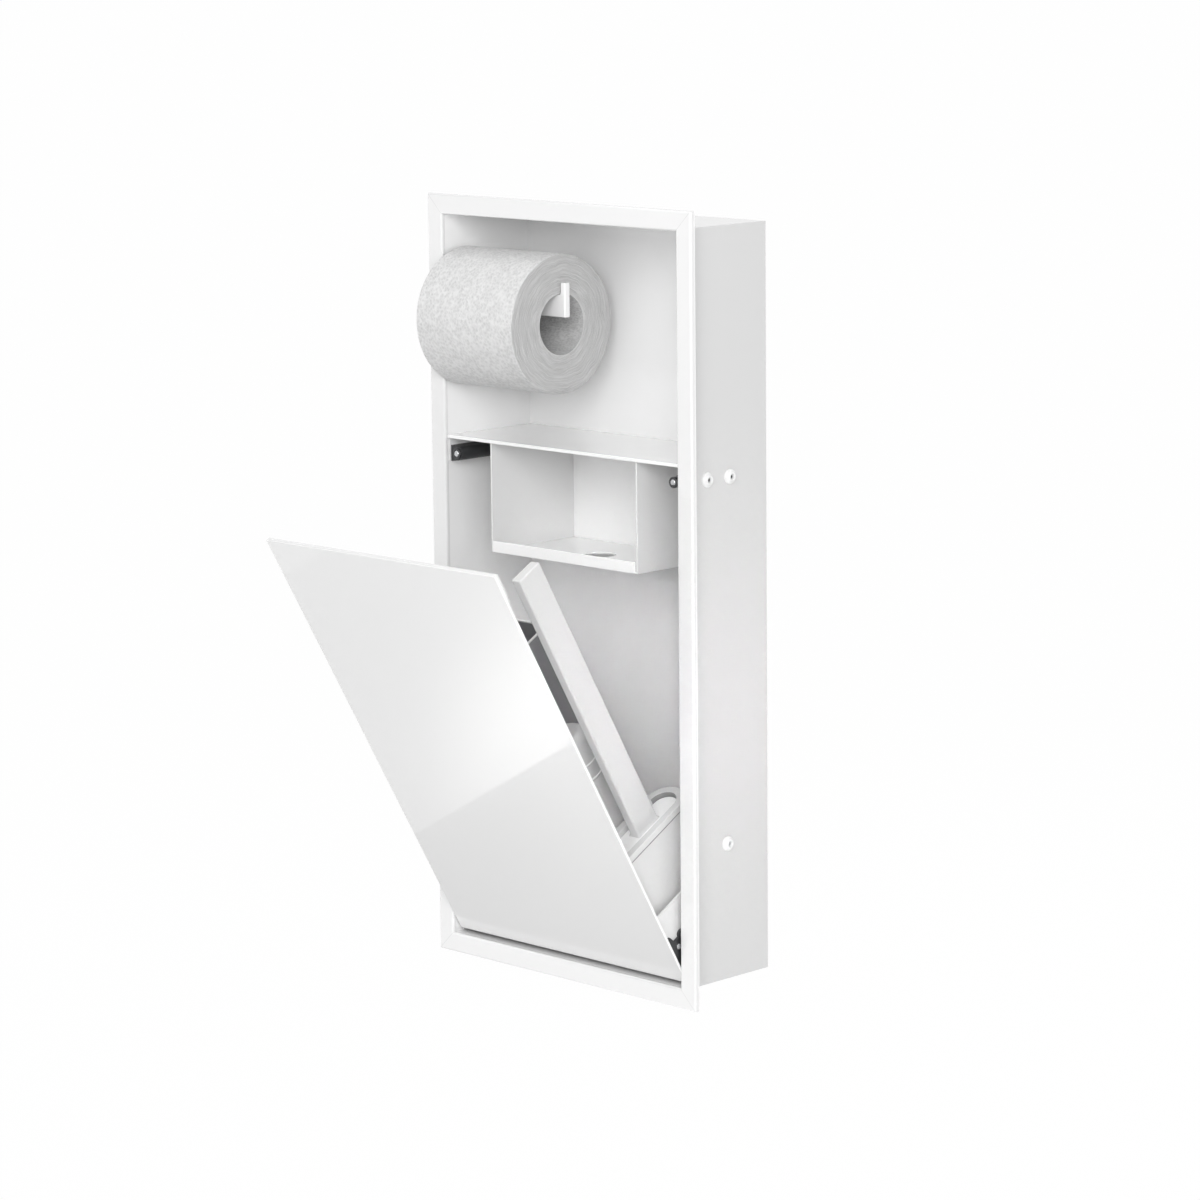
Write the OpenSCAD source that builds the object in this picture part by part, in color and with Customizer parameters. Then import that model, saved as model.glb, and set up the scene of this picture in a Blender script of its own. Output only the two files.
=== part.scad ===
// Recessed bathroom niche of white lacquered sheet steel: a box let into the wall with a trim frame
// in front, a shelf with a tissue compartment under it, a paper roll on a fixed arm, and a door that
// tilts out on two low hinges and carries a tray with a bin, a canister and a toilet brush in its pot.
// X runs to the right, Y into the wall and Z up. The origin is the middle of the opening, in the
// plane of the wall's face. All lengths are in millimetres.

/* [Trim frame] */
// Width of the trim frame over its outer edges
trim_w = 280; // [260:1:340]
// Height of the trim frame over its outer edges
trim_h = 600; // [596:1:640]
// Width of the frame's face on each side of the opening
trim_border = 15.5; // [12:0.5:17]
// Thickness of the frame
trim_t = 3.5; // [3:0.1:4.5]
// Bevel along the frame's front edges
trim_bevel = 1.2; // [0.2:0.1:1.5]

/* [Recess box] */
// Sheet thickness of the box, its lip, the compartment and the tray
sheet = 1.5; // [1:0.1:1.8]
// Depth of the box behind the wall's face
box_depth = 90; // [88:1:110]
// How far the box's side walls stand back from the edge of the trim
side_reveal = 0.6; // [0.2:0.1:1.2]
// How far the box's lip stays inside the trim's outer edge
lip_inset = 0.4; // [0.2:0.1:2]
// Diameter of the four screw holes in the lip
fixing_d = 4.5; // [3:0.1:5]
// Distance of those holes from the trim's upper and lower edges
fixing_end = 60; // [30:5:120]

/* [Shelf and compartment] */
// Distance of the shelf's top face below the opening's upper edge
shelf_down = 171.5; // [168:0.5:184]
// Thickness of the shelf
shelf_t = 2.5; // [2:0.1:3.5]
// How far the shelf's edge lies behind the front of the trim
shelf_setback = 2.2; // [1:0.1:3]
// Distance of the compartment from the box's wall on each side
comp_side = 46.4; // [40:0.2:60]
// Outer height of the compartment below the shelf
comp_h = 85; // [70:1:90]
// How far the compartment's edge lies behind the front of the trim
comp_setback = 4.6; // [4.4:0.1:8]
// Height of the lip along the front of the compartment's floor
comp_lip_h = 8.8; // [5:0.1:15]
// Gap between that lip and the right wall
comp_lip_gap = 1.5; // [0.6:0.1:3]
// Diameter of the hole in the compartment's floor
comp_hole_d = 24; // [20:1:45]
// Distance of that hole's centre from the compartment's front
comp_hole_y = 40; // [30:1:55]

/* [Paper roll] */
// Outer diameter of the paper roll
roll_d = 107; // [80:1:115]
// Width of the roll
roll_w = 105; // [90:1:110]
// Inner diameter of the roll's cardboard core
core_d = 47; // [44:0.5:50]
// Wall of the cardboard core
core_wall = 0.9; // [0.5:0.1:1.5]
// Distance of the roll's axis behind the front of the trim
roll_setback = 22.8; // [20:0.2:30]
// Distance of the arm's top edge below the opening's upper edge
arm_down = 56.7; // [54:0.1:75]
// Height of the flat arm
arm_h = 17.5; // [12:0.5:20]
// Thickness of the flat arm
arm_t = 5.8; // [3:0.1:6]
// How far the tab at the arm's end stands above the arm
arm_tab_h = 9; // [5:0.5:12]
// Length of that tab along the arm
arm_tab_l = 4.9; // [3:0.1:6]
// Height of the plate that fixes the arm to the left wall
arm_plate_h = 56; // [44:1:70]
// Width of that plate
arm_plate_w = 30; // [24:1:36]
// Thickness of that plate
arm_plate_t = 2.5; // [2:0.1:3]

/* [Door] */
// Gap between the closed door and the trim below it
door_bottom_gap = 6.3; // [5:0.1:12]
// Thickness of the door panel
door_t = 1.8; // [1.2:0.1:2.4]
// Gap between the door and the trim on each side
door_side_gap = 1; // [0.8:0.1:2]
// Gap between the closed door and the shelf above it
door_top_gap = 2.1; // [1:0.1:3]
// Angle of the door as it stands open
door_open = 30; // [26:0.5:30.5]
// Height of the catch strip inside the door's top edge
strip_h = 22; // [17:0.5:26]
// Thickness of that strip
strip_t = 1.8; // [1:0.1:2]

/* [Hinges and stops] */
// Distance of the hinge axis behind the door's outer face
pivot_in = 10.6; // [9.8:0.1:11]
// Height of the hinge axis above the door's lower edge
pivot_up = 12.6; // [11.5:0.1:14]
// Diameter of the hinge pins
pin_d = 5; // [4:0.5:6]
// Radial clearance of the hinge pins in the arms
pin_clear = 0.05; // [0.03:0.01:0.1]
// Thickness of the hinge arms
arm_plate = 2.2; // [1.8:0.1:2.3]
// Thickness of the brackets on the box's walls
bracket_t = 1.5; // [1:0.1:1.7]
// Diameter of the pegs that stop the door
peg_d = 6.8; // [5:0.2:8]
// Clearance between those pegs and the tray's top edge
peg_clear = 0.3; // [0.2:0.1:0.5]

/* [Door tray] */
// Distance of the tray from the box's wall on each side
tray_side = 4.1; // [3.9:0.1:5]
// Gap between the closed door's tray and the box's back
tray_back_gap = 4; // [3:0.5:6]
// Height of the tray's walls above the door's lower edge
tray_h = 62.3; // [50:0.1:70]
// Height of the tray's underside above the door's lower edge
tray_lift = 2; // [1:0.1:4]

/* [Brush set] */
// Gap between the collar and the tray's right wall
pot_side_gap = 4.1; // [3.4:0.1:4.6]
// Width of the collar on the pot
collar_w = 35.6; // [32:0.2:36]
// Gap between the collar's round end and the tray's rear wall
pot_back_gap = 1.2; // [0.8:0.1:10]
// Height of the collar's top edge above the door's lower edge
collar_z = 116.6; // [105:0.1:125]
// Thickness of the collar's rim
collar_t = 5; // [3.5:0.1:7]
// Width of the collar's flat top
collar_rim = 6.2; // [5:0.1:6.4]
// Wall of the pot
pot_wall = 1.8; // [1.2:0.1:2.2]
// How far the lid lies below the collar's top edge
lid_drop = 4; // [2:0.1:4.5]
// Thickness of the lid
lid_t = 3; // [2:0.1:4]
// How far the handle's top lies below the door's upper edge
handle_down = 32.6; // [30:0.1:80]
// Width of the handle across the door
handle_w = 9.2; // [8:0.1:12]
// Depth of the handle towards the wall
handle_d = 23.6; // [18:0.1:28]
// Diameter of the stem under the lid
stem_d = 8; // [6:0.5:10]

/* [Bin and canister] */
// Gap between the bin and the tray's rear wall
bin_back_gap = 1.7; // [0.8:0.1:20]
// Gap between the closed bin's walls and the compartment above it
bin_headroom = 40.2; // [36:0.2:80]
// Wall of the bin
bin_wall = 1.8; // [1.2:0.1:2.5]
// Thickness of the rim on the bin
bin_rim_t = 1.4; // [1:0.1:2.5]
// Diameter of the canister
can_d = 36; // [28:0.5:36.5]
// Distance of the canister's axis from the door's outer face
can_in = 40; // [24:1:60]
// Height of the canister with its cap
can_h = 196; // [180:0.5:220]
// Height of the cap
cap_h = 25; // [22:1:60]

/* [Latches] */
// Radius of a latch body's round nose
latch_nose_r = 5.4; // [5:0.1:6]
// Height of a latch body
latch_h = 12.5; // [11:0.5:14]
// Length of a latch body
latch_l = 56; // [54:1:60]
// Distance of the latches' middle below the shelf's underside
latch_down = 12; // [8:0.5:14]
// Distance of the left latch body behind the front of the trim
latch_setback = 5.6; // [5.4:0.1:8]
// How much further back the right latch body starts
latch_right_back = 6.7; // [0:0.1:8]
// Diameter of a plunger
plunger_d = 8.4; // [7:0.2:9]
// Distance of a plunger's axis from the box's wall
plunger_x = 8.8; // [7:0.1:9]
// How far the plungers stand out in front of the left latch body
plunger_out = 1.4; // [1:0.1:1.6]
// How far a plunger can be pushed in
plunger_travel = 3; // [2:0.1:4]
// Outer diameter of the bosses on the box's sides
boss_d = 11.5; // [9:0.5:14]
// Height of those bosses
boss_h = 3.5; // [2.5:0.1:5]

/* [Hidden] */
$fn = 64;
// Overrun of a cut past the face that it opens
over = 1;

// The opening and the box
open_w = trim_w - 2 * trim_border;
open_h = trim_h - 2 * trim_border;
front_y = -sheet - trim_t;
box_in_w = open_w + 2 * side_reveal;
box_in_h = open_h;
box_back_y = box_depth - sheet;
wall_x = box_in_w / 2;
lip_w = trim_w - 2 * lip_inset;
lip_h = trim_h - 2 * lip_inset;
fixing_x = (wall_x + sheet + lip_w / 2) / 2;
fixing_z = trim_h / 2 - fixing_end;

// The shelf and the compartment
shelf_y = front_y + shelf_setback;
shelf_z = open_h / 2 - shelf_down;
shelf_under = shelf_z - shelf_t;
shelf_tongue_gap = 0.3;
comp_y = front_y + comp_setback;
comp_z = shelf_under - comp_h;
comp_w = box_in_w - 2 * comp_side;
comp_in_w = comp_w - 2 * sheet;
comp_lip_r = 1;

// The paper roll, which hangs on the top edge of its arm
roll_y = front_y + roll_setback;
roll_clear = 0.3;
arm_top_z = open_h / 2 - arm_down;
roll_z = arm_top_z - sqrt(pow(core_d / 2 - roll_clear, 2) - pow(arm_t / 2, 2));
roll_plate_gap = 0.6;
roll_x = -wall_x + arm_plate_t + roll_plate_gap;
tab_gap = 1.6;
arm_fillet = 1.8;
tab_x = roll_x + roll_w + tab_gap;
roll_screw_d = 4;
roll_head_d = 7.6;
roll_head_h = 1.8;
arm_screw_gap = 18;
arm_plate_r = 2.5;

// The door's own frame: X across, Y inwards from its outer face, Z up from its lower edge
door_w = open_w - 2 * door_side_gap;
door_z = -open_h / 2 + door_bottom_gap;
door_h = shelf_under - door_top_gap - door_z;
pivot_y = front_y + pivot_in;
pivot_z = door_z + pivot_up;

// The tray and what stands in it
tray_w = box_in_w - 2 * tray_side;
tray_d = box_back_y - front_y - tray_back_gap;
tray_floor = tray_lift + sheet;
stand_gap = 0.5;
tray_in_d = tray_d - sheet - door_t - stand_gap;
collar_l = tray_in_d - pot_back_gap;
bin_d = tray_in_d - bin_back_gap;
side_gap = 3.5;
can_gap = 4;
pot_can_gap = 1.8;
can_r = can_d / 2;
pot_x = tray_w / 2 - sheet - pot_side_gap - collar_w / 2;
can_x = pot_x - collar_w / 2 - pot_can_gap - can_r;
bin_x = -tray_w / 2 + sheet + side_gap;
bin_w = can_x - can_r - can_gap - bin_x;
bin_h = comp_z - bin_headroom - door_z - tray_floor;
can_wall = 1.2;
can_inset = 0.5;
bead_h = 1.4;
cap_wall = 1.4;
cap_edge = 7;
cap_clear = 0.2;
cap_gap = 0.4;
band_h = 12.5;
neck_h = 12;
cap_foot = can_h - cap_h;
shoulder_z = cap_foot - cap_gap - band_h;

// The brush set
collar_corner = 5;
pot_inset = 1;
pot_gap = 0.8;
pot_seat_inset = 1.7;
lid_gap = 0.6;
lid_ledge = 1.2;
sleeve_l = 8.6;
handle_back = 0.45;
handle_y = door_t + stand_gap + collar_l / 2 + handle_back;
handle_l = door_h - handle_down - collar_z + lid_drop;
handle_r = 1.2;
foot_h = 1.2;
foot_out = 1.2;
head_w = 8;
head_l = 52;
head_h = 54;
head_up = 16;
bristle_side_gap = 0.9;
bristle_end_gap = 2.85;
bristle_w = collar_w - 2 * (collar_rim + lid_ledge + bristle_side_gap);
bristle_l = collar_l - 2 * (collar_rim + lid_ledge + bristle_end_gap);
bristle_h = 62;
bristle_up = 10;

// The latches
latch_y = front_y + latch_setback;
latch_z = shelf_under - latch_down;
latch_bore_l = 21.5;
plunger_l = 15;
plunger_clear = 0.08;
tip_d = 5;
tip_l = 3;
tip_out = 0.3;
spring_d = 7.2;
spring_wire = 0.9;
screw_d = 3;
screw_tail = 1.6;
screw_bite = 8;
boss_bore_d = 3.6;
latch_plate_t = 1.5;
latch_plate_setback = 4;
latch_screw_shares = [0.4375, 0.875];
latch_screw_ys = [for (share = latch_screw_shares) latch_y + share * latch_l];

// The pegs, on whose lower side the tray's top edge rests when the door stands open
peg_back = 2.1;
peg_in = tray_d - peg_back;
peg_up = tray_h + peg_clear + peg_d / 2;
peg_l = 6.2;
peg_tail = 2;
peg_y = pivot_y + (peg_in - pivot_in) * cos(door_open) - (peg_up - pivot_up) * sin(door_open);
peg_z = pivot_z + (peg_in - pivot_in) * sin(door_open) + (peg_up - pivot_up) * cos(door_open);

// The hinges
leaf_h = 41.5;
leaf_t = 2.6;
leaf_up = 1.5;
lobe_r = 4;
lobe_in = 16.2;
lobe_up = 35.3;
notch_in = 6.6;
notch_up = 35.8;
hub_r = 9;
bracket_l = 34;
bracket_gap = 0.3;
bracket_h = 2 * (pivot_y + sheet - bracket_gap);
rivet_d = 2.4;
rivet_head_d = 4.6;
rivet_head_h = 0.7;
rivet_in = 8.2;
rivet_up = 29.8;
arm_rivets_at = [[rivet_in, rivet_up], [lobe_in, lobe_up]];
bracket_rivet_share = [0.55, 0.88];

// Puts its children, given in the door's own frame, where the open door holds them
module on_door() {
    translate([0, pivot_y, pivot_z])
        rotate([door_open, 0, 0])
            translate([0, -pivot_in, -pivot_up])
                children();
}

// A box that is centred across X only
module slab(w, d, h) {
    translate([-w / 2, 0, 0])
        cube([w, d, h]);
}

// A flat outline with a straight front, small front corners and a half-round rear
module d_outline(w, l, corner) {
    r = w / 2;
    translate([0, l - r])
        circle(r);
    translate([-r, corner])
        square([w, l - r - corner]);
    translate([-r + corner, 0])
        square([w - 2 * corner, l - r]);
    for (side = [-1, 1])
        translate([side * (r - corner), corner])
            circle(corner);
}

// A flat rectangle with round corners, centred
module round_rect(w, l, r) {
    square([w - 2 * r, l], center = true);
    square([w, l - 2 * r], center = true);
    for (x = [-1, 1], y = [-1, 1])
        translate([x * (w / 2 - r), y * (l / 2 - r)])
            circle(r);
}

// A flat outline with two half-round ends, centred
module stadium(w, l) {
    square([w, l - w], center = true);
    for (y = [-1, 1])
        translate([0, y * (l - w) / 2])
            circle(w / 2);
}

// A rod along X from x to x + l
module rod(x, y, z, d, l) {
    translate([x, y, z])
        rotate([0, 90, 0])
            cylinder(d = d, h = l);
}

// A block whose four sides run straight to the bevel and then slope in or out to the front
module bevelled_block(w, h, slope, from_y, to_y) {
    shoulder_y = front_y + trim_bevel;
    grow = slope * (shoulder_y - to_y);
    intersection() {
        linear_extrude(h + 2 * trim_border, center = true)
            polygon([[-w / 2, from_y], [-w / 2, shoulder_y], [-w / 2 - grow, to_y],
                [w / 2 + grow, to_y], [w / 2, shoulder_y], [w / 2, from_y]]);
        rotate([90, 0, 90])
            linear_extrude(w + 2 * trim_border, center = true)
                polygon([[from_y, -h / 2], [shoulder_y, -h / 2], [to_y, -h / 2 - grow],
                    [to_y, h / 2 + grow], [shoulder_y, h / 2], [from_y, h / 2]]);
    }
}

module niche_box() {
    color("whitesmoke")
        difference() {
            union() {
                translate([0, 0, -box_in_h / 2 - sheet])
                    slab(box_in_w + 2 * sheet, box_depth, box_in_h + 2 * sheet);
                translate([0, -sheet, -lip_h / 2])
                    slab(lip_w, sheet, lip_h);
            }
            translate([0, -sheet - over, -box_in_h / 2])
                slab(box_in_w, box_back_y + sheet + over, box_in_h);
            for (side = [-1, 1]) {
                x = side > 0 ? wall_x - over : -wall_x - sheet - over;
                for (y = latch_screw_ys)
                    rod(x, y, latch_z, screw_d, sheet + 2 * over);
                rod(x, peg_y, peg_z, screw_d, sheet + 2 * over);
            }
            for (x = [-fixing_x, fixing_x], z = [-fixing_z, fixing_z])
                translate([x, over, z])
                    rotate([90, 0, 0])
                        cylinder(d = fixing_d, h = sheet + 2 * over);
        }
}

module boss(y, z) {
    difference() {
        rod(wall_x + sheet, y, z, boss_d, boss_h);
        rod(wall_x + sheet - over, y, z, boss_bore_d, boss_h + 2 * over);
    }
}

module wall_bosses() {
    color("whitesmoke")
        for (side = [0, 1])
            mirror([side, 0, 0]) {
                for (y = latch_screw_ys)
                    boss(y, latch_z);
                boss(peg_y, peg_z);
            }
}

module trim_frame() {
    color("white")
        difference() {
            bevelled_block(trim_w, trim_h, -1, -sheet, front_y);
            bevelled_block(open_w, open_h, 1, -sheet + over, front_y - over);
        }
}

module shelf() {
    color("white") {
        translate([0, 0, shelf_under])
            slab(box_in_w, box_back_y, shelf_t);
        translate([0, shelf_y, shelf_under])
            slab(open_w - 2 * shelf_tongue_gap, -shelf_y, shelf_t);
    }
}

module compartment_wall(x) {
    translate([x, comp_y, comp_z])
        cube([sheet, box_back_y - comp_y, comp_h]);
}

module compartment_left_wall() {
    color("whitesmoke")
        compartment_wall(-comp_w / 2);
}

module compartment_right_wall() {
    color("whitesmoke")
        compartment_wall(comp_w / 2 - sheet);
}

module compartment_floor() {
    color("whitesmoke")
        difference() {
            union() {
                translate([0, comp_y, comp_z])
                    slab(comp_in_w, box_back_y - comp_y, sheet);
                translate([-comp_in_w / 2, comp_y + sheet, comp_z])
                    rotate([90, 0, 0])
                        linear_extrude(sheet) {
                            square([comp_in_w - comp_lip_gap, comp_lip_h - comp_lip_r]);
                            square([comp_in_w - comp_lip_gap - comp_lip_r, comp_lip_h]);
                            translate([comp_in_w - comp_lip_gap - comp_lip_r,
                                comp_lip_h - comp_lip_r])
                                circle(comp_lip_r);
                        }
            }
            translate([0, comp_y + comp_hole_y, comp_z - over])
                cylinder(d = comp_hole_d, h = sheet + 2 * over);
        }
}

module roll_screw_places() {
    for (z = [-1, 1])
        translate([-wall_x, roll_y, arm_top_z - arm_h / 2 + z * arm_screw_gap])
            rotate([0, 90, 0])
                children();
}

module roll_plate() {
    color("white")
        difference() {
            translate([-wall_x, roll_y, arm_top_z - arm_h / 2])
                rotate([0, 90, 0])
                    linear_extrude(arm_plate_t)
                        round_rect(arm_plate_h, arm_plate_w, arm_plate_r);
            roll_screw_places() {
                translate([0, 0, -over])
                    cylinder(d = roll_screw_d, h = arm_plate_t + 2 * over);
                translate([0, 0, arm_plate_t - roll_head_h])
                    cylinder(d = roll_head_d, h = roll_head_h + over);
            }
        }
}

module roll_arm() {
    x = -wall_x + arm_plate_t;
    color("white")
        translate([0, roll_y + arm_t / 2, arm_top_z])
            rotate([90, 0, 0])
                linear_extrude(arm_t) {
                    translate([x, -arm_h])
                        square([tab_x + arm_tab_l - x, arm_h]);
                    translate([tab_x, -arm_h])
                        square([arm_tab_l, arm_h + arm_tab_h]);
                    difference() {
                        translate([tab_x - arm_fillet, -over])
                            square([arm_fillet + over, arm_fillet + over]);
                        translate([tab_x - arm_fillet, arm_fillet])
                            circle(arm_fillet);
                    }
                }
}

// The two screws of the arm's plate stop in the box's wall, whose inner face they bear on
module roll_screws() {
    color("silver")
        roll_screw_places() {
            cylinder(d = roll_screw_d, h = arm_plate_t);
            translate([0, 0, arm_plate_t - roll_head_h])
                cylinder(d = roll_head_d, h = roll_head_h);
        }
}

// The latches are drawn on the right wall, and the left ones are their mirror images
module latch_plate() {
    difference() {
        translate([wall_x - latch_plate_t, front_y + latch_plate_setback, latch_z - latch_h / 2])
            cube([latch_plate_t, latch_setback - latch_plate_setback + latch_l,
                shelf_under - latch_z + latch_h / 2]);
        for (y = latch_screw_ys)
            rod(wall_x - latch_plate_t - over, y, latch_z, screw_d, latch_plate_t + 2 * over);
    }
}

module latch_plate_left() {
    color("white")
        mirror([1, 0, 0])
            latch_plate();
}

module latch_plate_right() {
    color("white")
        latch_plate();
}

// The body's outline tapers from its foot on the plate to a round nose about the plunger
module latch_body(back) {
    difference() {
        translate([wall_x - plunger_x, latch_y + back, latch_z])
            rotate([-90, 0, 0])
                linear_extrude(latch_l - back) {
                    circle(latch_nose_r);
                    polygon([[0, -latch_nose_r], [plunger_x - latch_plate_t, -latch_h / 2],
                        [plunger_x - latch_plate_t, latch_h / 2], [0, latch_nose_r]]);
                }
        translate([wall_x - plunger_x, latch_y - over, latch_z])
            rotate([-90, 0, 0])
                cylinder(d = plunger_d + 2 * plunger_clear, h = latch_bore_l + over);
        for (y = latch_screw_ys)
            rod(wall_x - screw_bite, y, latch_z, screw_d, screw_bite + over);
    }
}

module latch_body_left() {
    color("black")
        mirror([1, 0, 0])
            latch_body(0);
}

module latch_body_right() {
    color("black")
        latch_body(latch_right_back);
}

module latch_screws() {
    color("silver")
        for (side = [0, 1])
            mirror([side, 0, 0])
                for (y = latch_screw_ys)
                    rod(wall_x - screw_bite, y, latch_z, screw_d, screw_bite + sheet + screw_tail);
}

module plunger() {
    translate([wall_x - plunger_x, latch_y - plunger_out, latch_z])
        rotate([-90, 0, 0])
            difference() {
                cylinder(d = plunger_d, h = plunger_l);
                translate([0, 0, -over])
                    cylinder(d = tip_d, h = tip_l - tip_out + over);
            }
}

module plunger_left() {
    color("black")
        mirror([1, 0, 0])
            plunger();
}

module plunger_right() {
    color("black")
        plunger();
}

module plunger_tip() {
    translate([wall_x - plunger_x, latch_y - plunger_out - tip_out, latch_z])
        rotate([-90, 0, 0])
            cylinder(d = tip_d, h = tip_l);
}

module plunger_tip_left() {
    color("silver")
        mirror([1, 0, 0])
            plunger_tip();
}

module plunger_tip_right() {
    color("silver")
        plunger_tip();
}

// A coil spring between the plunger and the end of its bore, drawn as its outer tube
module latch_spring() {
    l = latch_bore_l + plunger_out - plunger_l;
    translate([wall_x - plunger_x, latch_y + latch_bore_l - l, latch_z])
        rotate([-90, 0, 0])
            difference() {
                cylinder(d = spring_d, h = l);
                translate([0, 0, -over])
                    cylinder(d = spring_d - 2 * spring_wire, h = l + 2 * over);
            }
}

module latch_spring_left() {
    color("gray")
        mirror([1, 0, 0])
            latch_spring();
}

module latch_spring_right() {
    color("gray")
        latch_spring();
}

module stop_peg() {
    rod(wall_x - peg_l, peg_y, peg_z, peg_d, peg_l);
    rod(wall_x, peg_y, peg_z, screw_d, sheet + peg_tail);
}

module stop_peg_left() {
    color("silver")
        mirror([1, 0, 0])
            stop_peg();
}

module stop_peg_right() {
    color("silver")
        stop_peg();
}

// A plate on the box's wall that holds the hinge pin and runs back from it
module hinge_bracket() {
    difference() {
        union() {
            rod(wall_x - bracket_t, pivot_y, pivot_z, bracket_h, bracket_t);
            translate([wall_x - bracket_t, pivot_y, pivot_z - bracket_h / 2])
                cube([bracket_t, bracket_l, bracket_h]);
        }
        rod(wall_x - bracket_t - over, pivot_y, pivot_z, pin_d, bracket_t + 2 * over);
        for (share = bracket_rivet_share)
            rod(wall_x - bracket_t - over, pivot_y + share * bracket_l, pivot_z, rivet_d,
                bracket_t + 2 * over);
    }
}

module hinge_bracket_left() {
    color("black")
        mirror([1, 0, 0])
            hinge_bracket();
}

module hinge_bracket_right() {
    color("black")
        hinge_bracket();
}

module bracket_rivets() {
    color("silver")
        for (side = [0, 1], share = bracket_rivet_share)
            mirror([side, 0, 0]) {
                rod(wall_x - bracket_t, pivot_y + share * bracket_l, pivot_z, rivet_d, bracket_t);
                rod(wall_x - bracket_t - rivet_head_h, pivot_y + share * bracket_l, pivot_z,
                    rivet_head_d, rivet_head_h);
            }
}

module hinge_pin() {
    rod(tray_w / 2 + pin_clear, pivot_y, pivot_z, pin_d, wall_x - tray_w / 2 - pin_clear);
}

module hinge_pin_left() {
    color("silver")
        mirror([1, 0, 0])
            hinge_pin();
}

module hinge_pin_right() {
    color("silver")
        hinge_pin();
}

module door_panel() {
    color("white")
        on_door()
            slab(door_w, door_t, door_h);
}

module catch_strip() {
    color("white")
        on_door()
            translate([0, door_t, door_h - strip_h])
                slab(door_w, strip_t, strip_h);
}

module holder_tray() {
    color("white")
        on_door()
            difference() {
                translate([0, door_t, tray_lift])
                    slab(tray_w, tray_d - door_t, tray_h - tray_lift);
                translate([0, door_t - over, tray_floor])
                    slab(tray_w - 2 * sheet, tray_d - sheet - door_t + over, tray_h);
                for (side = [-1, 1], at = arm_rivets_at)
                    rod(side * (tray_w / 2 - sheet / 2) - sheet, at[0], at[1], rivet_d, 2 * sheet);
            }
}

// The hinge arm's outline, seen along X: a leaf against the door, a plate and a round lobe
module hinge_arm() {
    difference() {
        union() {
            translate([tray_w / 2, 0, 0])
                rotate([90, 0, 90])
                    linear_extrude(arm_plate) {
                        translate([door_t, leaf_up])
                            square([leaf_t, leaf_h - leaf_up]);
                        polygon([[door_t, leaf_up], [pivot_in + hub_r / 2, leaf_up],
                            [pivot_in + hub_r, pivot_up], [lobe_in + lobe_r, lobe_up],
                            [lobe_in, notch_up], [notch_in, notch_up],
                            [door_t + leaf_t, leaf_h], [door_t, leaf_h]]);
                        translate([lobe_in, lobe_up])
                            circle(lobe_r);
                    }
        }
        rod(tray_w / 2 - over, pivot_in, pivot_up, pin_d + 2 * pin_clear, arm_plate + 2 * over);
        for (at = arm_rivets_at)
            rod(tray_w / 2 - over, at[0], at[1], rivet_d, arm_plate + 2 * over);
    }
}

module hinge_arm_left() {
    color("black")
        on_door()
            mirror([1, 0, 0])
                hinge_arm();
}

module hinge_arm_right() {
    color("black")
        on_door()
            hinge_arm();
}

module arm_rivets() {
    color("silver")
        on_door()
            for (side = [0, 1], at = arm_rivets_at)
                mirror([side, 0, 0]) {
                    rod(tray_w / 2 - sheet, at[0], at[1], rivet_d, sheet + arm_plate);
                    rod(tray_w / 2 + arm_plate, at[0], at[1], rivet_head_d, rivet_head_h);
                    rod(tray_w / 2 - sheet - rivet_head_h, at[0], at[1], rivet_head_d,
                        rivet_head_h);
                }
}

module at_bin(z) {
    on_door()
        translate([bin_x, door_t + stand_gap, tray_floor + z])
            children();
}

module bin() {
    color("dimgray")
        at_bin(0)
            difference() {
                cube([bin_w, bin_d, bin_h]);
                translate([bin_wall, bin_wall, bin_wall])
                    cube([bin_w - 2 * bin_wall, bin_d - 2 * bin_wall, bin_h]);
            }
}

module bin_rim() {
    color("dimgray")
        at_bin(bin_h)
            difference() {
                cube([bin_w, bin_d, bin_rim_t]);
                translate([bin_wall, bin_wall, -over])
                    cube([bin_w - 2 * bin_wall, bin_d - 2 * bin_wall, bin_rim_t + 2 * over]);
            }
}

module at_can(z) {
    on_door()
        translate([can_x, can_in, tray_floor + z])
            children();
}

module canister() {
    color("white")
        at_can(0)
            difference() {
                union() {
                    cylinder(r = can_r - can_inset, h = cap_foot - cap_gap);
                    translate([0, 0, shoulder_z])
                        cylinder(r = can_r, h = bead_h);
                    cylinder(r = can_r - can_inset - cap_wall - cap_clear, h = cap_foot + neck_h);
                }
                translate([0, 0, can_wall])
                    cylinder(r = can_r - can_inset - cap_wall - cap_clear - can_wall,
                        h = cap_foot + neck_h);
            }
}

module canister_cap() {
    color("white")
        at_can(cap_foot)
            difference() {
                union() {
                    cylinder(r = can_r, h = bead_h);
                    cylinder(r = can_r - can_inset, h = cap_h - cap_edge);
                    cylinder(r = can_r - can_inset - cap_edge, h = cap_h);
                    translate([0, 0, cap_h - cap_edge])
                        rotate_extrude()
                            translate([can_r - can_inset - cap_edge, 0])
                                intersection() {
                                    circle(cap_edge);
                                    square(cap_edge);
                                }
                }
                translate([0, 0, -over])
                    cylinder(r = can_r - can_inset - cap_wall, h = cap_h - cap_edge + over);
            }
}

// A flat-fronted, round-backed slice of the brush set, inset all round from the collar's outline
module pot_slice(from_z, to_z, inset) {
    translate([pot_x, door_t + stand_gap + inset, from_z])
        linear_extrude(to_z - from_z)
            d_outline(collar_w - 2 * inset, collar_l - 2 * inset, collar_corner);
}

pot_top = collar_z - collar_t - pot_gap;
ledge_z = collar_z - lid_drop - lid_t;
sleeve_z = pot_top - sleeve_l;
sleeve_inset = pot_inset + pot_wall;

module brush_pot() {
    color("white")
        on_door()
            difference() {
                pot_slice(tray_floor, pot_top, pot_inset);
                pot_slice(tray_floor + pot_wall, pot_top + over, sleeve_inset);
            }
}

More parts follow.
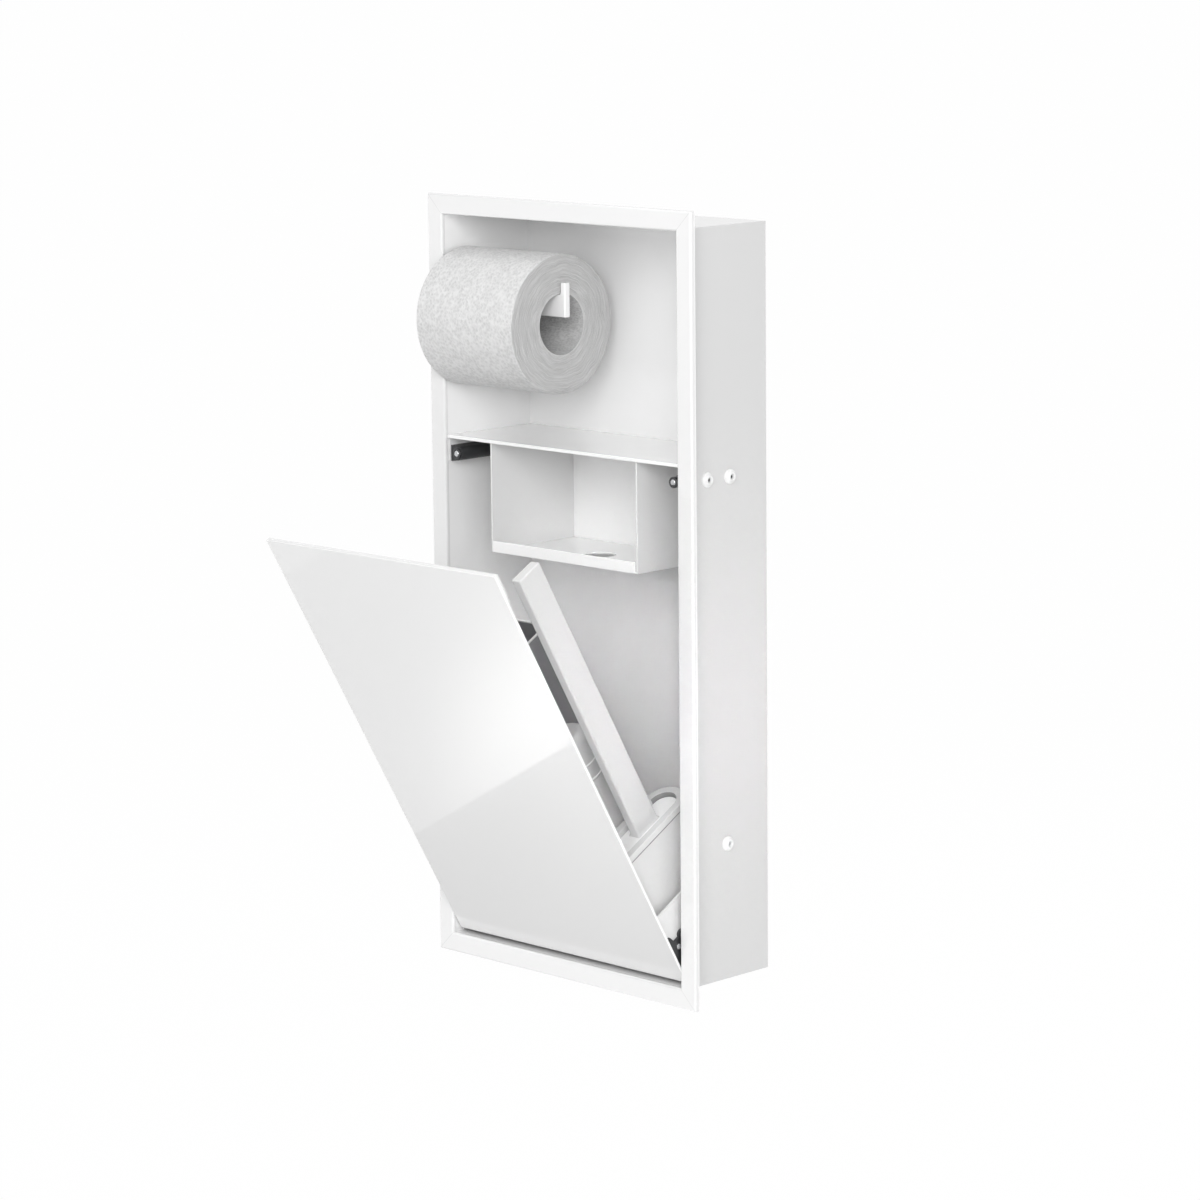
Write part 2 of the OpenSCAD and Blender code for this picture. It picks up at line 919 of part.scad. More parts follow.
module pot_collar() {
    color("white")
        on_door()
            difference() {
                union() {
                    pot_slice(collar_z - collar_t, collar_z, 0);
                    pot_slice(pot_top, collar_z - collar_t, pot_seat_inset);
                    pot_slice(sleeve_z, pot_top, sleeve_inset);
                }
                pot_slice(ledge_z, collar_z + over, collar_rim);
                pot_slice(sleeve_z - over, ledge_z, collar_rim + lid_ledge);
            }
}

module pot_lid() {
    color("white")
        on_door()
            pot_slice(ledge_z, collar_z - lid_drop, collar_rim + lid_gap);
}

module brush_handle() {
    color("white")
        on_door()
            translate([pot_x, handle_y, collar_z - lid_drop]) {
                linear_extrude(handle_l)
                    round_rect(handle_w, handle_d, handle_r);
                linear_extrude(foot_h)
                    round_rect(handle_w + 2 * foot_out, handle_d + 2 * foot_out,
                        handle_r + foot_out);
            }
}

module brush_stem() {
    color("white")
        on_door()
            translate([pot_x, handle_y, tray_floor + head_up + head_h])
                cylinder(d = stem_d, h = ledge_z - tray_floor - head_up - head_h);
}

module brush_head() {
    color("white")
        on_door()
            translate([pot_x, handle_y, tray_floor + head_up])
                linear_extrude(head_h)
                    stadium(head_w, head_l);
}

module brush_bristles() {
    color("ghostwhite")
        on_door()
            difference() {
                translate([pot_x, handle_y, tray_floor + bristle_up])
                    linear_extrude(bristle_h)
                        stadium(bristle_w, bristle_l);
                translate([pot_x, handle_y, tray_floor + head_up])
                    linear_extrude(bristle_h)
                        stadium(head_w, head_l);
            }
}

module paper_roll() {
    color("white")
        difference() {
            rod(roll_x, roll_y, roll_z, roll_d, roll_w);
            rod(roll_x - over, roll_y, roll_z, core_d + 2 * core_wall, roll_w + 2 * over);
        }
}

module roll_core() {
    color("lightgray")
        difference() {
            rod(roll_x, roll_y, roll_z, core_d + 2 * core_wall, roll_w);
            rod(roll_x - over, roll_y, roll_z, core_d, roll_w + 2 * over);
        }
}

niche_box();
wall_bosses();
trim_frame();
shelf();
compartment_left_wall();
compartment_right_wall();
compartment_floor();
roll_plate();
roll_arm();
roll_screws();
latch_plate_left();
latch_plate_right();
latch_body_left();
latch_body_right();
latch_screws();
stop_peg_left();
stop_peg_right();
hinge_bracket_left();
hinge_bracket_right();
hinge_pin_left();
hinge_pin_right();
bracket_rivets();
door_panel();
catch_strip();
holder_tray();
hinge_arm_left();
hinge_arm_right();
arm_rivets();
bin();
bin_rim();
canister();
canister_cap();
brush_pot();
pot_collar();
pot_lid();
brush_handle();
brush_stem();
brush_head();
brush_bristles();
plunger_left();
plunger_right();
plunger_tip_left();
plunger_tip_right();
latch_spring_left();
latch_spring_right();
paper_roll();
roll_core();
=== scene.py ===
import math

import bmesh
import bpy
from mathutils import Matrix, Vector


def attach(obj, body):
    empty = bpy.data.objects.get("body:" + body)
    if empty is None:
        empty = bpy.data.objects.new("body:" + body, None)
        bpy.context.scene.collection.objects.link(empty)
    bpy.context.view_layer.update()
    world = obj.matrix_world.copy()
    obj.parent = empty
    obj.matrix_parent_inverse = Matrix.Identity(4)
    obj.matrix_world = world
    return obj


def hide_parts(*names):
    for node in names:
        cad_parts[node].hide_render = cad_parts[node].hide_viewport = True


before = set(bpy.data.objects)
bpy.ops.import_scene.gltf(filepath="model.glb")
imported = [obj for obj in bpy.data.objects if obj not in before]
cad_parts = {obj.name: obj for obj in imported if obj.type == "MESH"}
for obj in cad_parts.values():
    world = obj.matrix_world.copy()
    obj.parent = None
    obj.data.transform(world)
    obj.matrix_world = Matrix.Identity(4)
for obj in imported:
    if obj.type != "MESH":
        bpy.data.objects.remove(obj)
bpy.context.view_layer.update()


# The studio. The camera stands at the photograph's place: right of the niche, a little above it,
# far off with a long lens. Its turn, tilt, roll and distance were solved from the straight edges.
turn_deg, tilt_deg, roll_deg = 44.864431, 10.022139, 0.592079
shift_right_mm, shift_down_mm, distance_mm = 30.88958, 2.441318, 3184.93974
focal_px, photo_px, sensor_mm = 4189.984, 1200, 36
trim_front = -5


def turned(degrees):
    angle = math.radians(degrees)
    return math.cos(angle), math.sin(angle)


turn_c, turn_s = turned(turn_deg)
tilt_c, tilt_s = turned(tilt_deg)
roll_c, roll_s = turned(roll_deg)
ahead = Vector((-turn_s * tilt_c, turn_c * tilt_c, -tilt_s))
level = Vector((turn_c, turn_s, 0))
plumb = ahead.cross(level)
across = roll_c * level + roll_s * plumb
below = roll_c * plumb - roll_s * level
stand = (Vector((0, trim_front, 0)) + shift_right_mm * across + shift_down_mm * below
         - distance_mm * ahead)
camera_data = bpy.data.cameras.new("camera")
camera_data.sensor_width = sensor_mm
camera_data.lens = sensor_mm * focal_px / photo_px
camera_data.clip_end = 100
camera = bpy.data.objects.new("camera", camera_data)
bpy.context.scene.collection.objects.link(camera)
camera.matrix_world = Matrix((
    (across.x, -below.x, -ahead.x, stand.x / 1000),
    (across.y, -below.y, -ahead.y, stand.y / 1000),
    (across.z, -below.z, -ahead.z, stand.z / 1000),
    (0, 0, 0, 1)))
bpy.context.scene.camera = camera
bpy.context.scene.view_settings.view_transform = "Standard"


def linear(code):
    shares = [int(code[i:i + 2], 16) / 255 for i in (1, 3, 5)]
    return [c / 12.92 if c <= 0.04045 else ((c + 0.055) / 1.055) ** 2.4 for c in shares] + [1]


# Adds one node. Settings are its properties, and an input gets a value or another node's output.
def add(tree, kind, inputs=(), **settings):
    made = tree.nodes.new(kind)
    for name, value in settings.items():
        setattr(made, name, value)
    for socket, source in dict(inputs).items():
        if isinstance(source, bpy.types.NodeSocket):
            tree.links.new(source, made.inputs[socket])
        else:
            made.inputs[socket].default_value = source
    return made


def lamp(name, place, aim, width, height, power):
    light = bpy.data.lights.new(name, "AREA")
    light.shape = "RECTANGLE"
    light.size = width
    light.size_y = height
    light.energy = power
    lit = bpy.data.objects.new(name, light)
    bpy.context.scene.collection.objects.link(lit)
    lit.location = place
    lit.rotation_euler = (Vector(aim) - Vector(place)).to_track_quat("-Z", "Y").to_euler()
    return lit


# Soft boxes, in metres and watts: the main one at the right front, weak ones in front and at both
# sides, a narrow one that fills the lower niche, a small one overhead that makes the upper edges
# glint, and one behind the niche
lamp("key_lamp", (2.0, -2.4, 1.2), (0, 0, 0), 1.6, 1.6, 50)
lamp("front_lamp", (-0.2, -3.0, 0.9), (0, 0, 0), 1.6, 1.6, 7)
lamp("left_lamp", (-2.0, -1.2, 1.9), (0, 0, 0), 0.7, 0.7, 6)
lamp("side_lamp", (2.8, -1.3, 0.6), (0, 0, -0.1), 1.0, 1.4, 12)
fill_lamp = lamp("fill_lamp", (2.1, -2.0, 0.45), (0.08, 0.0, -0.08), 0.16, 0.2, 0.045)
fill_lamp.data.spread = math.radians(6)
lamp("glint_lamp", (0.2, -0.1, 3.0), (0, 0, 0), 0.5, 0.5, 10)
lamp("back_lamp", (-0.8, 2.8, 1.2), (0, 0, 0), 2.0, 2.0, 30)


# One for a camera, transmission or glossy ray, to which the surroundings look plain white
def looked_at(tree):
    ray = add(tree, "ShaderNodeLightPath")
    through = add(tree, "ShaderNodeMath", {0: ray.outputs["Is Camera Ray"],
                                           1: ray.outputs["Is Transmission Ray"]},
                  operation="MAXIMUM")
    return add(tree, "ShaderNodeMath", {0: through.outputs[0], 1: ray.outputs["Is Glossy Ray"]},
               operation="MAXIMUM").outputs[0]


pure_white = linear("#FFFFFF")
soft_air = 0.55
world = bpy.data.worlds.new("studio_air")
bpy.context.scene.world = world
world.use_nodes = True
air = world.node_tree
air.nodes.clear()
soft = add(air, "ShaderNodeBackground", {"Color": pure_white, "Strength": soft_air})
clear = add(air, "ShaderNodeBackground", {"Color": pure_white, "Strength": 1})
blend = add(air, "ShaderNodeMixShader",
            {0: looked_at(air), 1: soft.outputs[0], 2: clear.outputs[0]})
add(air, "ShaderNodeOutputWorld", {"Surface": blend.outputs[0]})


def blank_material(name):
    made = bpy.data.materials.new(name)
    made.use_nodes = True
    made.node_tree.nodes.clear()
    return made


# Turns a finished bmesh into an object with one material
def shown(bm, name, finish):
    mesh = bpy.data.meshes.new(name)
    bm.to_mesh(mesh)
    bm.free()
    made = bpy.data.objects.new(name, mesh)
    bpy.context.scene.collection.objects.link(made)
    mesh.materials.append(finish)
    return made


# The floor lies well below the niche, as it would under a wall, and is seen white. A little of its
# matt paint shows through, so that it keeps the niche's shadow.
floor_half, floor_z, floor_glow = 60, -0.9, 0.985
floor_paint = blank_material("studio_floor")
tree = floor_paint.node_tree
seen = add(tree, "ShaderNodeMath", {0: looked_at(tree), 1: floor_glow}, operation="MULTIPLY")
matt = add(tree, "ShaderNodeBsdfDiffuse", {"Color": linear("#F2F2F2")})
glow = add(tree, "ShaderNodeEmission", {"Color": pure_white, "Strength": 1})
blend = add(tree, "ShaderNodeMixShader",
            {0: seen.outputs[0], 1: matt.outputs[0], 2: glow.outputs[0]})
add(tree, "ShaderNodeOutputMaterial", {"Surface": blend.outputs[0]})
bm = bmesh.new()
bmesh.ops.create_grid(bm, x_segments=2, y_segments=2, size=floor_half)
bmesh.ops.translate(bm, verts=bm.verts, vec=(0, 0, floor_z))
studio_floor = shown(bm, "studio_floor", floor_paint)

# A card lies over the floor at the left, and only glossy surfaces see it. Its near half is grey and
# its far half glows, so that the polished door shows a soft bright patch above a straight edge.
card_x, card_y, card_z = -0.694, -0.287, -0.88
card_long, card_wide = 0.9, 0.8
card_turn = math.radians(-37.08)
near_glow, far_glow, patch_glow = 0.42, 0.8, 1.7
patch_in, patch_long, patch_wide, patch_end = 0.05, 0.13, 0.15, 1.6
card_paint = blank_material("reflector_card")
tree = card_paint.node_tree
place = add(tree, "ShaderNodeTexCoord").outputs["Object"]
on_card = add(tree, "ShaderNodeMapping",
              {"Vector": place, "Location": (card_x, card_y, 0), "Rotation": (0, 0, card_turn)},
              vector_type="TEXTURE")
split = add(tree, "ShaderNodeSeparateXYZ", {"Vector": on_card.outputs[0]})
far_half = add(tree, "ShaderNodeMath", {0: split.outputs["Y"], 1: 0}, operation="LESS_THAN")
patch_at = add(tree, "ShaderNodeMapping",
               {"Vector": on_card.outputs[0], "Location": (0, -patch_in, 0),
                "Scale": (patch_long, patch_wide, 1)}, vector_type="TEXTURE")
patch_flat = add(tree, "ShaderNodeVectorMath", {0: patch_at.outputs[0], 1: (1, 1, 0)},
                 operation="MULTIPLY")
patch_far = add(tree, "ShaderNodeVectorMath", {0: patch_flat.outputs[0]}, operation="LENGTH")
patch = add(tree, "ShaderNodeMapRange",
            {"Value": patch_far.outputs["Value"], "From Min": patch_end, "From Max": 0,
             "To Min": far_glow, "To Max": patch_glow}, interpolation_type="SMOOTHERSTEP")
card_light = add(tree, "ShaderNodeMix",
                 {"Factor": far_half.outputs[0], 2: near_glow, 3: patch.outputs[0]},
                 data_type="FLOAT")
glow = add(tree, "ShaderNodeEmission", {"Color": pure_white, "Strength": card_light.outputs[0]})
add(tree, "ShaderNodeOutputMaterial", {"Surface": glow.outputs[0]})
bm = bmesh.new()
bmesh.ops.create_grid(bm, x_segments=1, y_segments=1, size=0.5)
bmesh.ops.scale(bm, verts=bm.verts, vec=(card_long, card_wide, 1))
bmesh.ops.rotate(bm, verts=bm.verts, matrix=Matrix.Rotation(card_turn, 3, "Z"))
bmesh.ops.translate(bm, verts=bm.verts, vec=(card_x, card_y, card_z))
reflector_card = shown(bm, "reflector_card", card_paint)
reflector_card.visible_camera = False
reflector_card.visible_diffuse = False
reflector_card.visible_shadow = False
reflector_card.visible_transmission = False


# The recess box. Folded and welded from 1.5 mm steel sheet, with a lip around its mouth, and powder
# coated white. Its bends are slightly round, and round bosses are pressed on its sides for screws.
cloud_mm, peel_depth = 60, 0.0001
cloud_low, cloud_high, worn_share = 0.3, 0.7, 0.96


# A smooth opaque skin of paint or moulded plastic: a colour that is a little worn in soft clouds,
# an orange peel or mould grain with bumps of peel_mm, and a clear polish over it
def coat(name, colour, rough, peel_mm, peel, polish, wear=0.04, sheen=0.05):
    paint = blank_material(name)
    tree = paint.node_tree
    place = add(tree, "ShaderNodeTexCoord").outputs["Object"]
    grain = add(tree, "ShaderNodeTexNoise",
                {"Vector": place, "Scale": 1000 / peel_mm, "Detail": 2, "Roughness": 0.5})
    cloud = add(tree, "ShaderNodeTexNoise",
                {"Vector": place, "Scale": 1000 / cloud_mm, "Detail": 3, "Roughness": 0.6})
    tone = add(tree, "ShaderNodeMapRange",
               {"Value": cloud.outputs["Fac"], "From Min": cloud_low, "From Max": cloud_high,
                "To Min": 1 - wear, "To Max": 1})
    worn = [c * worn_share for c in linear(colour)[:3]] + [1]
    hue = add(tree, "ShaderNodeMix", {"Factor": tone.outputs[0], 6: worn, 7: linear(colour)},
              data_type="RGBA")
    gloss = add(tree, "ShaderNodeMapRange",
                {"Value": cloud.outputs["Fac"], "From Min": cloud_low, "From Max": cloud_high,
                 "To Min": rough * (1 - wear), "To Max": rough * (1 + wear)})
    bump = add(tree, "ShaderNodeBump",
               {"Height": grain.outputs["Fac"], "Strength": peel, "Distance": peel_depth})
    shader = add(tree, "ShaderNodeBsdfPrincipled",
                 {"Base Color": hue.outputs[2], "Roughness": gloss.outputs[0],
                  "Normal": bump.outputs[0], "IOR": 1.5, "Coat Weight": polish,
                  "Coat Roughness": sheen})
    add(tree, "ShaderNodeOutputMaterial", {"Surface": shader.outputs[0]})
    return paint


# Powder coat: a satin white with a fine orange peel, whose bumps are about 1.5 mm across
white_powder_coat = coat("white_powder_coat", "#FAFAFA", 0.3, 1.5, 0.2, 0.7, wear=0.01)
# Outside, where the wall hides it, the coat is drawn greyer: painted shade on the box's outer sides
painted_shade_outer_coat = coat("painted_shade_outer_coat", "#D8D8D8", 0.3, 1.5, 0.25, 0.5, wear=0.01)


# Turns a finished bmesh in millimetres into a piece in metres that rides on its body
def piece(bm, name, finish, body, slot, *stands_for, smooth=35):
    bmesh.ops.scale(bm, verts=bm.verts, vec=(0.001, 0.001, 0.001))
    made = shown(bm, name, finish)
    made.data.shade_smooth()
    made.data.set_sharp_from_angle(angle=math.radians(smooth))
    flat = made.modifiers.new("flat_faces", "WEIGHTED_NORMAL")
    flat.weight = 80
    flat.keep_sharp = True
    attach(made, body)
    if stands_for:
        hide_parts(*stands_for)
    return made


def soften(bm, edges, radius, steps=3):
    bmesh.ops.bevel(bm, geom=edges, offset=radius, offset_type="OFFSET", segments=steps,
                    profile=0.5, affect="EDGES", clamp_overlap=True, material=-1)


# A copy of a node's solid whose sharp edges are rounded as the real piece's are
def rounded(node, radius, steps=3, least=40):
    bm = bmesh.new()
    bm.from_mesh(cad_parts[node].data)
    bmesh.ops.scale(bm, verts=bm.verts, vec=(1000, 1000, 1000))
    bmesh.ops.remove_doubles(bm, verts=bm.verts, dist=0.002)
    bmesh.ops.dissolve_limit(bm, angle_limit=math.radians(0.3), verts=bm.verts, edges=bm.edges)
    sharp = [e for e in bm.edges
             if len(e.link_faces) == 2 and e.calc_face_angle(0) > math.radians(least)]
    soften(bm, sharp, radius, steps)
    return bm


# The outside of the box, behind its lip, in metres
outside_x, outside_y, outside_z, lip_back = 0.1262, 0.0896, 0.2856, 0.0002
recess_box = piece(rounded("niche_box", 0.5, 2), "recess_box", white_powder_coat, "niche",
                   "white_lacquer_box", "niche_box")
recess_box.data.materials.append(painted_shade_outer_coat)
# Faces outside the box, behind its lip, take the greyer coat as painted shade
for face in recess_box.data.polygons:
    at = face.center
    outside = abs(at.x) > outside_x or abs(at.z) > outside_z or at.y > outside_y
    face.material_index = 1 if outside and at.y > lip_back else 0


# Spins a closed outline of (x, radius) points about an X axis that passes through a place
def spin_outline(bm, outline, place, steps):
    old = set(bm.verts)
    rim = [bm.verts.new((x, 0, radius)) for x, radius in outline]
    loop = [bm.edges.new(pair) for pair in zip(rim, rim[1:] + rim[:1])]
    bmesh.ops.spin(bm, geom=rim + loop, cent=(0, 0, 0), axis=(1, 0, 0), angle=math.tau,
                   steps=steps, use_merge=True)
    fresh = [v for v in bm.verts if v not in old]
    bmesh.ops.translate(bm, verts=fresh, vec=(0, *place))
    bmesh.ops.remove_doubles(bm, verts=bm.verts, dist=0.001)
    bmesh.ops.recalc_face_normals(bm, faces=bm.faces)


# The bosses are pressed rings with a round shoulder, a raised lip and a small hole for a screw.
# The outline gives each point's radius and its height above the wall.
wall_outside = 126.6
shoulder = ((5.75, 0), (5.75, 0.7), (5.6, 1.25), (5.15, 1.7), (4.5, 1.95), (4.1, 2.2), (3.85, 2.75),
            (3.5, 3.25), (2.95, 3.5), (2.4, 3.4), (2.0, 3.0), (1.8, 2.4), (1.8, 0))
boss_places = ((25.1, 98.5), (49.6, 98.5), (45.41, -180.95))
bm = bmesh.new()
for side in (-1, 1):
    for boss_place in boss_places:
        spin_outline(bm, [(side * (wall_outside + h), r) for r, h in shoulder], boss_place, 48)
boss_coat = coat("boss_powder_coat", "#EEEEEE", 0.3, 1.5, 0.1, 0.5)
piece(bm, "side_bosses", boss_coat, "niche", "white_lacquer_box", "wall_bosses", smooth=60)


# The trim frame. A flat frame with mitred corners that covers the cut edge of the wall, and is
# lacquered white and polished. Its front edges are rounded and catch the light.
trim_width, trim_height, trim_border, trim_thickness = 280, 600, 15.5, 3.5
trim_round = 1.8
# Lacquer: sprayed and polished, so its orange peel is wide and shallow, about 2.5 mm across
gloss_lacquer = coat("gloss_lacquer", "#E5E5E5", 0.2, 2.5, 0.015, 1, sheen=0.012)
trim_lacquer = coat("trim_lacquer", "#EAEAEA", 0.2, 2.5, 0.03, 0.7, sheen=0.02)
# The mitres show as hair lines from corner to corner of the frame
mitre_at, mitre_half = (trim_height - trim_width) / 2000, 0.00025
tree = trim_lacquer.node_tree
shader = next(n for n in tree.nodes if n.type == "BSDF_PRINCIPLED")
base = shader.inputs["Base Color"].links[0].from_socket
place = add(tree, "ShaderNodeTexCoord").outputs["Object"]
mirrored = add(tree, "ShaderNodeVectorMath", {0: place}, operation="ABSOLUTE")
split = add(tree, "ShaderNodeSeparateXYZ", {"Vector": mirrored.outputs[0]})
run = add(tree, "ShaderNodeMath", {0: split.outputs["Z"], 1: split.outputs["X"]},
          operation="SUBTRACT")
seam = add(tree, "ShaderNodeMath", {0: run.outputs[0], 1: mitre_at, 2: mitre_half},
           operation="COMPARE")
joined = add(tree, "ShaderNodeMix", {"Factor": seam.outputs[0], 6: base, 7: linear("#D8D8D8")},
             data_type="RGBA")
tree.links.new(joined.outputs[2], shader.inputs["Base Color"])

bm = bmesh.new()
bmesh.ops.create_grid(bm, x_segments=1, y_segments=1, size=1)
bmesh.ops.scale(bm, verts=bm.verts, vec=(trim_width / 2, trim_height / 2, 1))
bmesh.ops.rotate(bm, verts=bm.verts, matrix=Matrix.Rotation(math.radians(90), 3, "X"))
bmesh.ops.inset_region(bm, faces=bm.faces[:], thickness=trim_border, use_boundary=True,
                       use_even_offset=True)
opening = max(bm.faces, key=lambda f: f.calc_area())
bmesh.ops.delete(bm, geom=[opening], context="FACES")
bmesh.ops.solidify(bm, geom=bm.faces[:], thickness=trim_thickness)
foremost = min(v.co.y for v in bm.verts)
bmesh.ops.translate(bm, verts=bm.verts, vec=(0, trim_front - foremost, 0))
bmesh.ops.recalc_face_normals(bm, faces=bm.faces)
front = [e for e in bm.edges if all(v.co.y < trim_front + 0.1 for v in e.verts)
         and e.calc_face_angle(0) > 1]
soften(bm, front, trim_round, 6)
piece(bm, "trim_frame_lacquered", trim_lacquer, "niche", "white_lacquer_trim", "trim_frame")


# The shelf and the tissue compartment under it. Each is folded from thin steel sheet, spot welded
# to the box and powder coated with it. The front edges are rolled smooth.
shelf_coat = coat("shelf_powder_coat", "#FAFAFA", 0.2, 2, 0.06, 0.9)
# A greyer copy of the same powder coat: painted shade on the compartment's side walls and on the
# door's tray
shaded_wall_coat = coat("shaded_wall_powder_coat", "#E4E4E4", 0.25, 2, 0.06, 0.6)
piece(rounded("shelf", 0.6), "shelf_board", shelf_coat, "niche", "white_lacquer_sheet", "shelf")
for side in ("left", "right"):
    piece(rounded("compartment_%s_wall" % side, 0.45), "tissue_box_%s" % side, shaded_wall_coat, "niche",
          "white_lacquer_sheet", "compartment_%s_wall" % side)
piece(rounded("compartment_floor", 0.45), "tissue_box_floor", shelf_coat, "niche",
      "white_lacquer_sheet", "compartment_floor")


# The paper holder. A flat steel bar on a plate that two screws hold to the left wall, with a raised
# tab at its end that keeps the roll on. Both are coated white, and the screws are bright.
piece(rounded("roll_arm", 1.1, 4), "roll_bar", shelf_coat, "niche", "white_lacquer_sheet",
      "roll_arm")
piece(rounded("roll_plate", 0.5), "roll_bar_plate", shelf_coat, "niche", "white_lacquer_sheet",
      "roll_plate")

tool_mark_mm, tool_mark_depth = 0.3, 0.00005


# Bright steel: turned or drawn and left bare, with fine marks that break up its shine
def bare_steel(name, colour, rough):
    metal = blank_material(name)
    tree = metal.node_tree
    place = add(tree, "ShaderNodeTexCoord").outputs["Object"]
    marks = add(tree, "ShaderNodeTexNoise",
                {"Vector": place, "Scale": 1000 / tool_mark_mm, "Detail": 3, "Roughness": 0.6})
    gloss = add(tree, "ShaderNodeMapRange",
                {"Value": marks.outputs["Fac"], "To Min": rough * 0.8, "To Max": rough * 1.3})
    bump = add(tree, "ShaderNodeBump",
               {"Height": marks.outputs["Fac"], "Strength": 0.15, "Distance": tool_mark_depth})
    shader = add(tree, "ShaderNodeBsdfPrincipled",
                 {"Roughness": gloss.outputs[0], "Normal": bump.outputs[0],
                  "Base Color": linear(colour), "Metallic": 1})
    add(tree, "ShaderNodeOutputMaterial", {"Surface": shader.outputs[0]})
    return metal


zinc_steel = bare_steel("zinc_plated_steel", "#C9CACC", 0.25)
piece(rounded("roll_screws", 0.25, 2), "roll_screws_bright", zinc_steel, "niche", "bright_steel",
      "roll_screws")


# The paper roll. Soft tissue wound on a cardboard core, matt and a little rough. Its round side is
# embossed with short slanting dashes, and its ends show the edges of the wound layers.
roll_left, roll_right = -122.0, -17.0
roll_y, roll_z = 17.8, 204.782
roll_radius, core_outer, core_bore = 53.5, 24.4, 23.5
# Layer edges lie about 0.9 mm apart, coarser than the sheets so that they show, and stray by up to
# 6.5 mm over places 16 mm apart, so that they run askew and fray
layer_mm, stray_mm, stray_m, fray_per_turn = 0.9, 16, 0.0065, 1.6
# Dashes are about 3 mm long and 0.9 mm wide, between dimples 2.4 mm and soft waves 14 mm apart
dash_mm, dash_wide_mm, dash_slant, dimple_mm, wave_mm = 3, 0.9, math.radians(48), 2.4, 14
emboss_depth, emboss_share = 0.0012, 2.4
shade_low, shade_high, end_limit = 0.25, 0.75, 0.7


